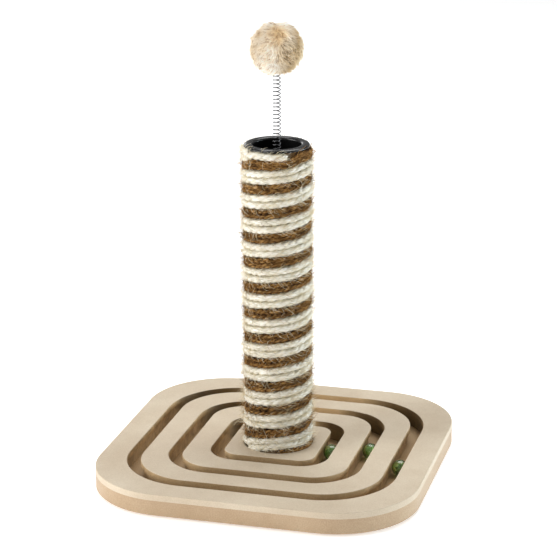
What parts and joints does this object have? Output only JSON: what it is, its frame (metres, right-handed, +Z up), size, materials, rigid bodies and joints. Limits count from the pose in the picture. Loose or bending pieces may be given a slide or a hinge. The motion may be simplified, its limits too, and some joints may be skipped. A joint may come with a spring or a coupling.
{
  "type": "cat scratcher",
  "caption": "Square board with captive marble tracks round a rope-wound scratching post, topped by a plush ball that sways on a coil spring.",
  "frame": {"origin": "on the floor, under the middle of the base", "axes": "+Z up along the post, X and Y along the sides of the base"},
  "size_m": [0.31, 0.31, 0.43],
  "materials": {
    "board_wood": "matt",
    "panel_wood": "satin",
    "pad_rubber": "matt",
    "tube_card": "matt",
    "plug_wood": "matt",
    "zinc_steel": "satin",
    "staple_steel": "satin",
    "brown_rope": "fibrous",
    "white_rope": "fibrous",
    "black_plastic": "gloss",
    "marble_glass": "polished",
    "spring_steel": "polished",
    "stuffing_fibre": "soft",
    "plush_fur": "plush"
  },
  "bodies": {
    "base": {"base_board": "board_wood", "frame_panel": "panel_wood", "outer_ring_panel": "panel_wood", "inner_ring_panel": "panel_wood", "centre_panel": "panel_wood", "pad_front_left": "pad_rubber", "pad_front_right": "pad_rubber", "pad_back_left": "pad_rubber", "pad_back_right": "pad_rubber", "post_tube": "tube_card", "post_plug": "plug_wood", "tee_nut": "zinc_steel", "bolt_washer": "zinc_steel", "fixing_bolt": "zinc_steel", "brown_rope_lower": "brown_rope", "brown_rope_upper": "brown_rope", "white_rope_lower": "white_rope", "white_rope_upper": "white_rope", "rope_staples": "staple_steel", "top_cap": "black_plastic"},
    "outer_marble": {"outer_marble": "marble_glass"},
    "middle_marble": {"middle_marble": "marble_glass"},
    "inner_marble": {"inner_marble": "marble_glass"},
    "spring": {"spring": "spring_steel"},
    "ball": {"ball_stuffing": "stuffing_fibre", "ball_cover": "plush_fur"}
  },
  "joints": [
    {"name": "outer_marble_roll", "type": "slide", "parent": "base", "child": "outer_marble", "axis": [0, 1, 0], "range_m": [-0.047, 0.073]},
    {"name": "middle_marble_roll", "type": "slide", "parent": "base", "child": "middle_marble", "axis": [0, 1, 0], "range_m": [-0.067, 0.027]},
    {"name": "inner_marble_roll", "type": "slide", "parent": "base", "child": "inner_marble", "axis": [0, 1, 0], "range_m": [-0.038, 0.022]},
    {"name": "spring_sway_side", "type": "hinge", "parent": "base", "child": "spring", "pos_m": [0, 0, 0.309], "axis": [0, 1, 0], "range_deg": [-45, 45], "stiffness_Nm_per_rad": 0.08, "deforming": ["spring"]},
    {"name": "spring_sway_front", "type": "hinge", "parent": "spring", "child": "ball", "pos_m": [0, 0, 0.35], "axis": [1, 0, 0], "range_deg": [-45, 45], "stiffness_Nm_per_rad": 0.08, "deforming": ["spring"]}
  ]
}
